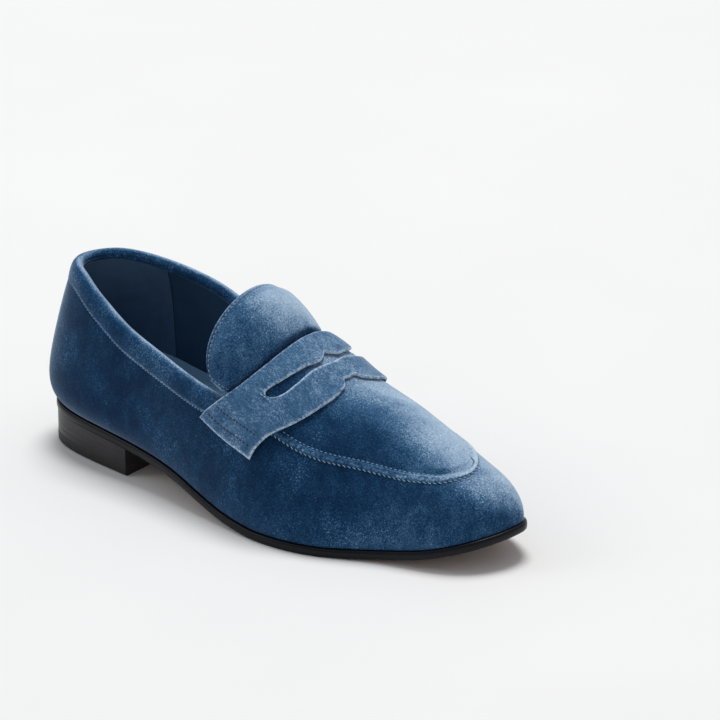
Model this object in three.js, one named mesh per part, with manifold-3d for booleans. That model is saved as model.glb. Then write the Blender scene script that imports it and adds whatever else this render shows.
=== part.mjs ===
// Penny loafer for the right foot, built from the heel back (x = 0) to the toe tip.
// Millimetres, +X towards the toe, +Y towards the other foot (medial), +Z up.
import * as THREE from 'three';
import Module from 'manifold-3d';

// ---------- Driving dimensions ----------
const LENGTH = 300;            // outsole, heel back to toe tip
const SOLE_EDGE = 5;           // outsole thickness
const HEEL_BREAST = 70;        // heel back to the heel's front face
const TOP_LIFT = 5.7;          // rubber top lift
const LIFT = 3;                // one leather heel lift
const GAP = 0.3;               // clearance between touching pieces
const LAYER_GAP = 0.8;         // clearance between the curved layers of the upper
const WRAP_ROWS = 7;           // rows of faces up the velvet wall
const UPPER = 1.4;             // velvet and its backing
const STIFFENER = 1.2;         // heel counter and toe puff
const LINING = 0.9;            // leather lining
const FEATHER_INSET = 1.8;     // upper's foot, in from the sole edge
const MARGIN = 12;             // lasting margin turned in under the insole
const COLLAR_END = 150;        // front ends of the collar, under the strap
const GRIP_SEAM = 50;          // seam between heel grip and quarter linings
const APRON_REAR = 168;        // apron's rear edge, under the strap
const APRON_TIP = 275.2;        // apron's front edge on the centre line
const APRON_CENTRE = 1;        // the apron's middle, medial of the heel's centre line
const APRON_LOW = 0.4;         // lowest level of the apron's edge on the wall, 0 sole to 1 ridge
const COUNTER_FRONT = 75;      // front ends of the heel counter
const COUNTER_HEIGHT = 46;     // heel counter above the feather line
const PUFF_REAR = 255;         // rear edge of the toe puff
const SHANK = { rear: 40, front: 146, halfWidth: 7 };
const NAIL = { radius: 0.8, hole: 1.1, top: 13.5 };
const STRAP = { centre: -0.05, lateral: 0.7, medial: 0.84, thickness: 1.5, skew: 4, slot: 0.58 };
const TONGUE = { tip: 134, top: 115.5, halfWidth: 37.5, fall: 38, turn: 94 };
// The ridge leans forward over the heel, up to the mouth, and back over the toe.
const RIDGE_LEAN = { heel: 42, heelLength: 110, toe: 30, toeStart: 190, toeLength: 110 };
const OWN_HEIGHT = { from: 190, to: 235 };  // where the toe's height starts to follow its own place

// Curves along the shoe: [x, value] knots.
const HALF_WIDTH = {           // multiplied by the rounded plan 2*sqrt(x(1-x))
  lateral: [[0, 57], [20, 49.6], [72, 39.6], [130, 35.5], [205, 55.8], [250, 54], [300, 76]],
  medial: [[0, 57], [20, 49.6], [72, 38.5], [130, 30], [205, 53], [250, 46], [300, 43]],
};
const CENTRE = [[0, 0], [72, 0], [135, -12], [210, 0.2], [300, 11.5]];
const FEATHER = [[0, 24.3], [72, 20.6], [110, 17.3], [150, 7.6], [174, 5], [216, 5], [240, 6.6],
  [262, 9.9], [300, 20.8]];
const RIDGE_HEIGHT = [[42, 130], [110, 115], [150, 95], [172, 91], [193, 79], [230, 66.6],
  [255, 55.8], [272, 48], [285, 43.4], [300, 36.5]];
const RIDGE_SIDE = [[0, 0], [100, 0], [172, 6], [193, 4], [230, 6.5], [270, 9]];
const ROUNDNESS = [[0, 2.2], [40, 2.6], [110, 2.5], [150, 2.5], [200, 2], [250, 2.1], [300, 2.9]];
const LOW_BULGE = [[0, 6], [30, 9], [110, 3], [200, 2], [300, 0]];
const ARCH_BULGE = [[0, 0], [40, 3], [90, 12], [130, 17], [160, 13], [200, 4], [240, 0]];
const TOPLINE = {
  lateral: [[0, 105], [20, 103.5], [45, 94.5], [70, 84], [95, 77.5], [120, 72], [150, 66.5]],
  medial: [[0, 105], [20, 106], [45, 103], [70, 97], [95, 89], [120, 79], [150, 66.5]],
};
// Half width of the apron, before it closes round the toe as a square root.
const APRON_HALF = [[168, 44.5], [205, 48.5], [245, 46.2], [258, 49.7], [268, 54.6], [275.2, 54]];
const BAND = [[0, 9], [20, 9.5], [45, 11], [150, 11]];
// Strap outline against the distance from its centre (0) to an end (1).
const STRAP_REAR = [[0, 166.8], [0.2, 165.4], [0.4, 161.5], [0.6, 154], [0.8, 144], [1, 134]];
const STRAP_FRONT = [[0, 196.5], [0.08, 198.6], [0.2, 199.6], [0.4, 195.8], [0.6, 188.3],
  [0.8, 177.8], [1, 170]];
const SLOT_REAR = [[0, 179.2], [0.06, 181.2], [0.2, 178.9], [0.4, 174.3], [0.58, 167.7]];
const SLOT_FRONT = [[0, 185], [0.1, 183.4], [0.2, 182], [0.37, 180.1], [0.5, 176.3], [0.58, 172]];

// ---------- Curves and surfaces ----------
function curve(knots, x) {
  const last = knots.length - 1;
  const at = THREE.MathUtils.clamp(x, knots[0][0], knots[last][0]);
  const slope = (i) => (knots[i + 1][1] - knots[i][1]) / (knots[i + 1][0] - knots[i][0]);
  const width = (i) => knots[i + 1][0] - knots[i][0];
  const tangent = (i) => {
    if (i === 0) return slope(0);
    if (i === last) return slope(last - 1);
    return (slope(i - 1) * width(i) + slope(i) * width(i - 1)) / (width(i) + width(i - 1));
  };
  let i = 0;
  while (i < last - 1 && at >= knots[i + 1][0]) i += 1;
  const h = width(i);
  const t = (at - knots[i][0]) / h;
  return (2 * t ** 3 - 3 * t ** 2 + 1) * knots[i][1] + (t ** 3 - 2 * t ** 2 + t) * h * tangent(i)
    + (3 * t ** 2 - 2 * t ** 3) * knots[i + 1][1] + (t ** 3 - t ** 2) * h * tangent(i + 1);
}

const sideName = (side) => (side < 0 ? 'lateral' : 'medial');
const alongOf = (q) => (LENGTH * (1 - Math.cos(Math.PI * q))) / 2;
const stationAt = (x) => Math.acos(1 - (2 * x) / LENGTH) / Math.PI;
const feather = (x) => Math.max(SOLE_EDGE, curve(FEATHER, x));

// Outsole outline: q runs 0..1 from the heel back to the toe tip on one side.
function outline(q, side) {
  const x = alongOf(q);
  const part = x / LENGTH;
  const round = 2 * Math.sqrt(Math.max(0, part * (1 - part)));
  return new THREE.Vector2(x, curve(CENTRE, x) + side * curve(HALF_WIDTH[sideName(side)], x) * round);
}

function inset(q, side, distance) {
  const step = 1e-4;
  const ahead = outline(Math.min(1, q + step), side);
  const behind = outline(Math.max(0, q - step), side);
  const along = ahead.sub(behind).normalize();
  const point = outline(q, side);
  return new THREE.Vector2(point.x + along.y * side * distance, point.y - along.x * side * distance);
}

// Last surface: v runs 0..1 from the feather line up to the ridge.
function wall(side, q, v) {
  const x = alongOf(q);
  const foot = inset(q, side, FEATHER_INSET);
  const outward = foot.clone().sub(inset(q, side, FEATHER_INSET + 1));
  const low = feather(x);
  const heelPart = Math.max(0, 1 - x / RIDGE_LEAN.heelLength);
  const toePart = Math.max(0, (x - RIDGE_LEAN.toeStart) / RIDGE_LEAN.toeLength);
  const ridgeX = x + RIDGE_LEAN.heel * heelPart ** 2 - RIDGE_LEAN.toe * toePart ** 2;
  const ridge = new THREE.Vector2(ridgeX, curve(RIDGE_SIDE, ridgeX));
  const power = 2 / curve(ROUNDNESS, x);
  const angle = THREE.MathUtils.clamp(v, 1e-6, 1 - 1e-9) * (Math.PI / 2);
  const rise = Math.sin(angle) ** power;
  const lean = 1 - Math.cos(angle) ** power;
  let bulge = curve(LOW_BULGE, x) * (rise / 0.2) * Math.exp(1 - rise / 0.2) * (1 - rise);
  if (side > 0) bulge += curve(ARCH_BULGE, x) * Math.sin(Math.PI * rise ** 1.35);
  const flat = foot.clone().lerp(ridge, lean).addScaledVector(outward, bulge);
  // Over the forepart the height follows the point's own place, so the toe slopes on smoothly.
  const own = THREE.MathUtils.smoothstep(x, OWN_HEIGHT.from, OWN_HEIGHT.to);
  const heightX = THREE.MathUtils.lerp(ridgeX, Math.max(flat.x, ridgeX), own);
  return new THREE.Vector3(flat.x, flat.y, low + (curve(RIDGE_HEIGHT, heightX) - low) * rise);
}

// The four corners of the patch meet at the ridge's front end, so normals are taken just short of it.
function wallNormal(side, station, level) {
  const step = 2e-3;
  const q = Math.min(station, 0.985);
  const v = Math.min(level, 0.98);
  const alongQ = wall(side, Math.min(1, q + step), v).sub(wall(side, Math.max(0, q - step), v));
  const alongV = wall(side, q, Math.min(1, v + step)).sub(wall(side, q, Math.max(0, v - step)));
  return alongQ.cross(alongV).multiplyScalar(-side).normalize();
}

// Point at a distance outside (+) or inside (-) the last surface.
function skin(side, q, v, distance) {
  const normal = wallNormal(side, q, v);
  const shared = q < 1e-3 || q > 1 - 1e-3 || v > 1 - 1e-3;
  if (shared) normal.add(wallNormal(-side, q, v)).normalize();
  return wall(side, q, v).addScaledVector(normal, distance);
}

// Lowest level at which a test on the wall turns true, found by halving.
function firstLevel(reached) {
  let low = 0;
  let high = 1;
  for (let i = 0; i < 30; i += 1) {
    const middle = (low + high) / 2;
    if (reached(middle)) high = middle;
    else low = middle;
  }
  return (low + high) / 2;
}

const levelAt = (side, q, z) => firstLevel((v) => wall(side, q, v).z >= z);

const topHeight = (side, x) => curve(TOPLINE[sideName(side)], x);
const seamHeight = (side, x) => topHeight(side, x) - curve(BAND, x);

// Level at which the wall crosses the apron's outline, which is grown by a clearance.
function apronLevel(side, q, grow) {
  const crossing = firstLevel((v) => {
    const p = wall(side, q, v);
    const left = (APRON_TIP + grow - p.x) / (APRON_TIP - APRON_REAR);
    const half = curve(APRON_HALF, p.x) * Math.sqrt(THREE.MathUtils.clamp(left, 0, 1)) + grow;
    return left > 0 && Math.abs(p.y - APRON_CENTRE) < half;
  });
  return Math.max(APRON_LOW - grow * 0.012, crossing);
}

function wrapTop(side, q) {
  const x = alongOf(q);
  const seam = levelAt(side, q, seamHeight(side, x));
  if (x <= COLLAR_END) return seam;
  const edge = apronLevel(side, q, 2 * GAP);
  return THREE.MathUtils.lerp(seam, edge, Math.min(1, (x - COLLAR_END) / (APRON_REAR - COLLAR_END)));
}

// ---------- Solid builders ----------
// Merges equal points, drops empty faces and pairs of faces that cover each other.
function closedGeometry(quads) {
  const points = [];
  const index = new Map();
  const idOf = (p) => {
    const key = [p.x, p.y, p.z].map((c) => Math.round(c * 500)).join();
    if (!index.has(key)) {
      index.set(key, points.length);
      points.push(p);
    }
    return index.get(key);
  };
  const faces = new Map();
  const addFace = (a, b, c) => {
    if (a === b || b === c || a === c) return;
    const key = [a, b, c].sort((m, n) => m - n).join();
    if (faces.has(key)) faces.delete(key);
    else faces.set(key, [a, b, c]);
  };
  quads.forEach((quad) => {
    const ids = quad.map(idOf);
    const start = ids.indexOf(Math.min(...ids));
    const turned = ids.map((_, i) => ids[(start + i) % ids.length]);
    for (let i = 1; i < turned.length - 1; i += 1) addFace(turned[0], turned[i], turned[i + 1]);
  });
  const triangles = [...faces.values()];
  const volume = triangles.reduce((sum, [a, b, c]) => (
    sum + points[a].dot(points[b].clone().cross(points[c]))), 0);
  const geometry = new THREE.BufferGeometry();
  geometry.setAttribute('position', new THREE.Float32BufferAttribute(
    points.flatMap((p) => [p.x, p.y, p.z]), 3));
  geometry.setIndex(triangles.flatMap(([a, b, c]) => (volume < 0 ? [a, c, b] : [a, b, c])));
  geometry.computeVertexNormals();
  return geometry;
}

// A sheet with thickness: outer[i][j] and inner[i][j] are matching grids of points.
function sheet(outer, inner, keep = () => true) {
  const rows = outer.length - 1;
  const cols = outer[0].length - 1;
  const kept = (i, j) => i >= 0 && j >= 0 && i < rows && j < cols && keep(i, j);
  const quads = [];
  const rim = (a, b) => quads.push([outer[b[0]][b[1]], outer[a[0]][a[1]],
    inner[a[0]][a[1]], inner[b[0]][b[1]]]);
  for (let i = 0; i < rows; i += 1) {
    for (let j = 0; j < cols; j += 1) {
      if (!kept(i, j)) continue;
      const ring = [[i, j], [i + 1, j], [i + 1, j + 1], [i, j + 1]];
      quads.push(ring.map(([m, n]) => outer[m][n]));
      quads.push(ring.map(([m, n]) => inner[m][n]).reverse());
      const beyond = [[i, j - 1], [i + 1, j], [i, j + 1], [i - 1, j]];
      beyond.forEach(([m, n], k) => {
        if (!kept(m, n)) rim(ring[k], ring[(k + 1) % 4]);
      });
    }
  }
  return closedGeometry(quads);
}

// Rings of points joined in order, with flat ends.
function loft(rings) {
  const quads = [];
  for (let i = 0; i < rings.length - 1; i += 1) {
    rings[i].forEach((point, k) => {
      const next = (k + 1) % rings[i].length;
      quads.push([point, rings[i][next], rings[i + 1][next], rings[i + 1][k]]);
    });
  }
  quads.push([...rings[0]].reverse());
  quads.push([...rings[rings.length - 1]]);
  return closedGeometry(quads);
}

// Levels packed closer together near the sole, where the wall curves most.
const levels = (from, to, count) => Array.from({ length: count + 1 },
  (_, i) => from + (to - from) * (i / count) ** 1.5);

const steps = (from, to, count) => Array.from({ length: count + 1 },
  (_, i) => from + ((to - from) * i) / count);

// Every layer of the upper picks its stations from one list, so that neighbours run side by side.
const stationMarks = [[0, 0], [GRIP_SEAM, 7], [COUNTER_FRONT, 2], [COLLAR_END, 6], [APRON_REAR, 2],
  [PUFF_REAR, 9], [LENGTH, 9]];
const allStations = stationMarks.slice(1).flatMap(([x, count], i) => (
  steps(stationAt(stationMarks[i][0]), stationAt(x), count).slice(i === 0 ? 0 : 1)));

function between(from, to) {
  const first = stationAt(from);
  const last = stationAt(to);
  return [first, ...allStations.filter((q) => q > first + 1e-3 && q < last - 1e-3), last];
}

// Stations [side, q] round the toe or round the heel, between a place on each side.
function roundToe(x) {
  const qs = between(x, LENGTH);
  return [...qs.map((q) => [-1, q]), ...qs.slice(0, -1).reverse().map((q) => [1, q])];
}

function roundHeel(x) {
  const qs = between(0, x);
  return [...qs.slice().reverse().map((q) => [-1, q]), ...qs.slice(1).map((q) => [1, q])];
}

const oneSide = (side, from, to) => between(from, to).map((q) => [side, q]);

// A layer of the wall between two levels given for each station.
function wallLayer(stations, bottom, top, rows, outside, inside) {
  const grid = (distance) => stations.map(([side, q]) => {
    const from = bottom(side, q);
    const to = top(side, q);
    return levels(from, to, rows).map((v) => skin(side, q, v, distance));
  });
  return sheet(grid(outside), grid(inside));
}

// A flat-across plate that follows the sole, between two heights above the floor.
function plate(from, to, edge, bottom, top, chamfer = 0) {
  const rings = between(from, to).map((q) => {
    const corner = (side, distance, height, lift = 0) => {
      const p = inset(q, side, distance);
      return new THREE.Vector3(p.x, p.y, height(p.x) + lift);
    };
    return [corner(-1, edge, top), corner(-1, edge, bottom, chamfer), corner(-1, edge + chamfer, bottom),
      corner(1, edge + chamfer, bottom), corner(1, edge, bottom, chamfer), corner(1, edge, top)];
  });
  return loft(rings);
}

// ---------- Materials ----------
const finish = (color, roughness, metalness = 0) => (
  new THREE.MeshStandardMaterial({ color, roughness, metalness }));
const velvet = finish(0x2f5580, 0.85);
const navyLeather = finish(0x22364a, 0.6);
const foam = finish(0xd8d2c0, 0.95);
const board = finish(0xa98e6a, 0.9);
const cork = finish(0xb98a58, 0.95);
const soleLeather = finish(0x5b3a26, 0.5);
const heelLeather = finish(0x241d1b, 0.4);
const rubber = finish(0x141414, 0.7);
const steel = finish(0x9a9da0, 0.35, 1);
const stiffener = finish(0xc9c3b2, 0.9);

const shoe = new THREE.Group();
function add(name, geometry, material) {
  const mesh = new THREE.Mesh(geometry, material);
  mesh.name = name;
  shoe.add(mesh);
  return mesh;
}

// ---------- Upper ----------
function upperWrap() {
  const backSeam = GAP / 2;
  const open = stationAt(0.0003);
  const qs = [open, ...between(0, LENGTH).slice(1)];
  const stations = [...qs.map((q) => [-1, q]), ...qs.slice(0, -1).reverse().map((q) => [1, q])];
  const grid = (distance, under, lift) => stations.map(([side, q]) => {
    const x = alongOf(q);
    const onSole = (from) => {
      const p = inset(q, side, from);
      return new THREE.Vector3(p.x, p.y, feather(p.x) + lift);
    };
    const wallPart = levels(levelAt(side, q, feather(x) + 3), wrapTop(side, q), WRAP_ROWS)
      .map((v) => skin(side, q, v, distance));
    const column = [onSole(MARGIN), onSole(under), ...wallPart];
    if (q === open) column.forEach((p) => { p.y = side * backSeam; });
    return column;
  });
  return sheet(grid(0, FEATHER_INSET + 0.1, GAP), grid(-UPPER, FEATHER_INSET + UPPER, GAP + UPPER));
}

function apron() {
  const edgeRows = [0, 0.07, 0.15, 0.3, 0.5, 0.75, 1];
  const roll = [1.3, 1.3, 0, 0, 0, 0, 0];
  const stations = roundToe(APRON_REAR);
  const grid = (outside) => stations.map(([side, q]) => {
    const edge = apronLevel(side, q, 0);
    return edgeRows.map((part, i) => skin(side, q, edge + (1 - edge) * part, outside ? roll[i] : -UPPER));
  });
  return sheet(grid(true), grid(false));
}

// The strap's own place: reach runs -1..1 between its ends, x is the station along the shoe.
function strapPoint(reach, x, distance) {
  const w = STRAP.centre + reach * (reach < 0 ? STRAP.lateral : STRAP.medial);
  const shift = STRAP.skew * THREE.MathUtils.clamp(reach / 0.25, 0, 1);
  return skin(w < 0 ? -1 : 1, stationAt(x + shift), 1 - Math.abs(w), distance);
}

function pennyStrap() {
  const half = [0.03, 0.08, 0.14, 0.2, 0.28, 0.36, 0.44, STRAP.slot, 0.66, 0.76, 0.86, 0.94, 1];
  const reaches = [...half.slice().reverse().map((r) => -r), 0, ...half];
  const grid = (extra) => reaches.map((reach) => {
    const r = Math.abs(reach);
    const rear = curve(STRAP_REAR, r);
    const front = curve(STRAP_FRONT, r);
    const slotRear = curve(SLOT_REAR, r) - (r > STRAP.slot ? (r - STRAP.slot) * 50 : 0);
    const slotFront = curve(SLOT_FRONT, r) - (r > STRAP.slot ? (r - STRAP.slot) * 28 : 0);
    const lift = 0.35 + 1.3 * THREE.MathUtils.clamp((1 - r) / 0.08, 0, 1);
    return [rear, (rear + slotRear) / 2, slotRear, slotFront, (slotFront + front) / 2, front]
      .map((x) => strapPoint(reach, x, lift + extra));
  });
  const inSlot = (i) => Math.abs((reaches[i] + reaches[i + 1]) / 2) < STRAP.slot;
  return sheet(grid(STRAP.thickness), grid(0), (i, j) => !(j === 2 && inSlot(i)));
}

// ---------- Collar: a velvet band folded over a foam roll ----------
const COLLAR_OUTER = [[1.2, -5], [0.5, -1.6], [-2.2, 0], [-4.8, -1.2], [-5.7, -4], [-5.6, -10]];
const COLLAR_INNER = [[0.1, -4.6], [-0.5, -2.5], [-2.2, -1.3], [-3.9, -2.2], [-4.5, -4.2], [-4.4, -10]];
const COLLAR_FOAM = [[-0.2, -8.5], [-0.2, -5], [-0.9, -3], [-2.2, -1.8], [-3.5, -2.8], [-4.1, -4.8],
  [-4, -8.5]];

function collarPoint(side, q, distance, drop) {
  const x = alongOf(q);
  return skin(side, q, levelAt(side, q, topHeight(side, x) + drop), distance);
}

function collar() {
  const stations = roundHeel(COLLAR_END);
  const foot = ([side, q], distance) => {
    const drop = GAP + 0.1 - curve(BAND, alongOf(q));
    return collarPoint(side, q, distance, drop);
  };
  const grid = (profile, distance) => stations.map((station) => [foot(station, distance),
    ...profile.map(([off, drop]) => collarPoint(station[0], station[1], off, drop))]);
  return sheet(grid(COLLAR_OUTER, 1.1), grid(COLLAR_INNER, 0));
}

function collarFoam() {
  return loft(roundHeel(COLLAR_END - 2).map(([side, q]) => (
    COLLAR_FOAM.map(([off, drop]) => collarPoint(side, q, off, drop)))));
}

// ---------- Linings and stiffeners ----------
const liningOutside = -(UPPER + LAYER_GAP + STIFFENER + LAYER_GAP);
const liningBottom = (side, q) => levelAt(side, q, feather(alongOf(q)) + 2.4);
const liningTop = (side, q) => levelAt(side, q, topHeight(side, alongOf(q)) - 10.6);
const toRidge = () => 1;

function lining(stations, top, rows) {
  return wallLayer(stations, liningBottom, top, rows, liningOutside, liningOutside - LINING);
}

function stiffened(stations, top, rows) {
  const outside = -(UPPER + LAYER_GAP);
  return wallLayer(stations, liningBottom, top, rows, outside, outside - STIFFENER);
}

// ---------- Tongue: a padded flap that rises from under the strap ----------
function tongueSurface(s, w) {
  const phi = THREE.MathUtils.degToRad(TONGUE.turn) * w;
  const free = new THREE.Vector3(TONGUE.tip - 4 * Math.sin(phi) ** 2 + 6 * w ** 6,
    TONGUE.halfWidth * Math.sin(phi) - 2.2, TONGUE.top - TONGUE.fall * (1 - Math.cos(phi)));
  const root = 0.72 * w;
  const base = strapPoint(root, curve(STRAP_REAR, Math.abs(root)) - 1.8, -0.6);
  const crown = 4 * s * (1 - s) * (6.5 - 4.5 * THREE.MathUtils.smoothstep(w, -0.1, 0.6));
  const swell = new THREE.Vector3(0.4, 0.35 * Math.sin(phi), 0.9 * Math.cos(phi)).multiplyScalar(crown);
  return base.lerp(free, s).add(swell);
}

function tonguePoint(s, w, distance) {
  const step = 1e-3;
  const row = THREE.MathUtils.clamp(s, 0.15, 0.85);
  const col = THREE.MathUtils.clamp(w, -0.75, 0.75);
  const alongS = tongueSurface(row + step, col).sub(tongueSurface(row - step, col));
  const alongW = tongueSurface(row, col + step).sub(tongueSurface(row, col - step));
  const normal = alongW.cross(alongS).normalize();
  if (normal.z * Math.cos(w) + normal.y * Math.sin(w) < 0) normal.negate();
  return tongueSurface(s, w).addScaledVector(normal, distance);
}

function tongueLayer(outside, inside, border) {
  const reach = 1 - 2.5 * border;
  const grid = (distance) => steps(border, 1 - border, 6).map((s) => (
    steps(-reach, reach, 16).map((w) => tonguePoint(s, w, distance))));
  return sheet(grid(outside), grid(inside));
}

// ---------- Bottom unit ----------
const above = (height) => (x) => feather(x) + height;
const outsoleBottom = (x) => Math.max(0, curve(FEATHER, x) - SOLE_EDGE);
const heelPadRise = (x) => 2.3 * (1 - THREE.MathUtils.smoothstep(x, 72, 84));
const linerBottom = (x) => feather(x) + 3.9 + heelPadRise(x);

function shank() {
  return loft(steps(SHANK.rear, SHANK.front, 16).map((x) => {
    const corner = (across, up) => new THREE.Vector3(x, curve(CENTRE, x) + across, feather(x) + up);
    const half = SHANK.halfWidth;
    return [corner(-half, GAP), corner(half, GAP), corner(half, GAP + 1.4), corner(-half, GAP + 1.4)];
  }));
}

const wasm = await Module();
wasm.setup();

function toManifold(geometry) {
  const mesh = new wasm.Mesh({
    numProp: 3,
    vertProperties: new Float32Array(geometry.attributes.position.array),
    triVerts: new Uint32Array(geometry.index.array),
  });
  mesh.merge();
  return new wasm.Manifold(mesh);
}

function fromManifold(solid) {
  const mesh = solid.getMesh();
  const geometry = new THREE.BufferGeometry();
  const flat = [];
  for (let i = 0; i < mesh.vertProperties.length; i += mesh.numProp) {
    flat.push(mesh.vertProperties[i], mesh.vertProperties[i + 1], mesh.vertProperties[i + 2]);
  }
  geometry.setAttribute('position', new THREE.Float32BufferAttribute(flat, 3));
  geometry.setIndex([...mesh.triVerts]);
  geometry.computeVertexNormals();
  return geometry;
}

// Upright pin with its foot at z = bottom.
function pin(x, y, bottom, top, radius) {
  const ring = (z) => steps(0, 1, 10).slice(0, -1).map((part) => new THREE.Vector3(
    x + radius * Math.cos(2 * Math.PI * part), y + radius * Math.sin(2 * Math.PI * part), z));
  return loft([ring(bottom), ring(top)]);
}

const nailPlaces = [[12, 0], [28, -15], [28, 15], [54, -19], [54, 19]];

function withNailHoles(geometry) {
  let solid = toManifold(geometry);
  nailPlaces.forEach(([x, y]) => {
    solid = solid.subtract(toManifold(pin(x, y, -1, NAIL.top + GAP, NAIL.hole)));
  });
  return fromManifold(solid);
}

function heelLayer(bottom, top, chamfer) {
  return withNailHoles(plate(0, HEEL_BREAST, 0.6, bottom, top, chamfer));
}

// ---------- Assembly ----------
add('upper_wrap', upperWrap(), velvet);
add('apron', apron(), velvet);
add('penny_strap', pennyStrap(), velvet);
add('topline_collar', collar(), velvet);
add('collar_foam', collarFoam(), foam);
add('tongue_cover', tongueLayer(0, -1.2, 0), velvet);
add('tongue_foam', tongueLayer(-1.6, -3.8, 0.05), foam);
add('tongue_lining', tongueLayer(-4.2, -5, 0.03), navyLeather);
add('heel_counter', stiffened(roundHeel(COUNTER_FRONT),
  (side, q) => levelAt(side, q, feather(alongOf(q)) + COUNTER_HEIGHT), 6), stiffener);
add('toe_puff', stiffened(roundToe(PUFF_REAR), toRidge, 8), stiffener);
add('heel_grip_lining', lining(roundHeel(GRIP_SEAM), liningTop, 6), navyLeather);
add('quarter_lining_lateral',
  lining(oneSide(-1, GRIP_SEAM + GAP, APRON_REAR - 2 * GAP), liningTop, 6), navyLeather);
add('quarter_lining_medial',
  lining(oneSide(1, GRIP_SEAM + GAP, APRON_REAR - 2 * GAP), liningTop, 6), navyLeather);
add('vamp_lining', lining(roundToe(APRON_REAR), toRidge, 8), navyLeather);

add('heel_pad', plate(0, 68, 8.8, above(3.9), above(5.9)), foam);
add('sock_liner', plate(0, LENGTH, 7.8, linerBottom, (x) => linerBottom(x) + 1.3), navyLeather);
add('insole_board', plate(0, LENGTH, 7.4, above(2), above(3.6)), board);
add('cork_filler', plate(150, 285, 13, above(GAP), above(1.7)), cork);
add('shank', shank(), steel);
add('outsole', plate(0, LENGTH, 0, outsoleBottom, feather, 0.6), soleLeather);

const wedgeTop = (x) => outsoleBottom(x) - GAP;
const flat = (z) => () => z;
const liftFloor = (n) => TOP_LIFT + GAP + (LIFT + GAP) * n;
add('heel_lift_wedge', heelLayer(flat(liftFloor(2)), wedgeTop, 0), heelLeather);
add('heel_lift_middle', heelLayer(flat(liftFloor(1)), flat(liftFloor(1) + LIFT), 0), heelLeather);
add('heel_lift_lower', heelLayer(flat(liftFloor(0)), flat(liftFloor(0) + LIFT), 0), heelLeather);
add('top_lift', heelLayer(flat(0), flat(TOP_LIFT), 0.4), rubber);
nailPlaces.forEach(([x, y], i) => {
  add(`heel_nail_${i + 1}`, pin(x, y, GAP, NAIL.top, NAIL.radius), steel);
});

// Origin at the middle of the footprint, on the floor.
const box = new THREE.Box3().setFromObject(shoe);
const middle = box.getCenter(new THREE.Vector3());
shoe.position.set(-middle.x, -middle.y, -box.min.z);

export default shoe;
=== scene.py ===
import math

import bmesh
import bpy
import numpy as np
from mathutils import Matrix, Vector


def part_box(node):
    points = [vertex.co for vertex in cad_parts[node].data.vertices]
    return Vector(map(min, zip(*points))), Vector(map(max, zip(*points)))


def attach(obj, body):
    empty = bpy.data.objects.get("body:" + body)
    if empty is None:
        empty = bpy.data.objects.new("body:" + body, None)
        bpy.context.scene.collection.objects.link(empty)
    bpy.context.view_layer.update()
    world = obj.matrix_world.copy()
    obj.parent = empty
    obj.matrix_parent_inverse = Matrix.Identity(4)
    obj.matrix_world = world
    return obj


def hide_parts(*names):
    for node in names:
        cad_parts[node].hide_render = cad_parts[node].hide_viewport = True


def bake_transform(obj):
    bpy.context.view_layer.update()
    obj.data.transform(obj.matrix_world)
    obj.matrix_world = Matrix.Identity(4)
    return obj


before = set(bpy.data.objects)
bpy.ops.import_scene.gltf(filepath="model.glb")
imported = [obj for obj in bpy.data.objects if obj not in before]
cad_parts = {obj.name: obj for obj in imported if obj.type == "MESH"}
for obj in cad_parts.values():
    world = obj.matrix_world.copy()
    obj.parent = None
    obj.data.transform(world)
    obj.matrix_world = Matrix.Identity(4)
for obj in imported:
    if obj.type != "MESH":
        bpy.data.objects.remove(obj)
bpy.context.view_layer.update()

# Penny loafer for the right foot. Shapes are worked out in millimetres from the heel back (x = 0)
# to the toe tip, +Y towards the other foot, and set into the frame by place().
METRES = 0.001

# ---------- Driving dimensions, in millimetres ----------
LENGTH = 300
SOLE_EDGE = 5
HEEL_BREAST = 70
TOP_LIFT = 5.7
LIFT = 3
GAP = 0.3
UPPER = 1.4
LAYER_GAP = 0.8
STIFFENER = 1.2
LINING = 0.9
LINING_FACE = UPPER + LAYER_GAP + STIFFENER + LAYER_GAP
FEATHER_INSET = 1.8
COLLAR_END = 150
GRIP_SEAM = 50
APRON_REAR = 168
APRON_TIP = 275.2
APRON_CENTRE = 1
APRON_LOW = 0.4
SEAM_BAND = 4.2  # width of the raised band round the apron
COUNTER_FRONT = 75
COUNTER_HEIGHT = 46
PUFF_REAR = 255
STRAP = {"centre": -0.05, "lateral": 0.7, "medial": 0.84, "thickness": 1.5, "skew": 4, "slot": 0.58}
TONGUE = {"tip": 134, "top": 115.5, "half_width": 37.5, "fall": 38, "turn": 94, "pad": 6.5}
# The ridge leans forward over the heel, up to the mouth, and back over the toe.
RIDGE_LEAN = {"heel": 42, "heel_length": 110, "toe": 30, "toe_start": 190, "toe_length": 110}
OWN_HEIGHT = (190, 235)  # where the toe's height starts to follow its own place
NAILS = [(12, 0), (28, -15), (28, 15), (54, -19), (54, 19)]
NAIL_TOP = 13.4

# How far the wrap starts above the feather line and runs on under the collar, in millimetres,
# and under the apron, in levels.
WRAP = {"foot": 0.2, "under_collar": 1.5, "under_apron": 0.035}

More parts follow.
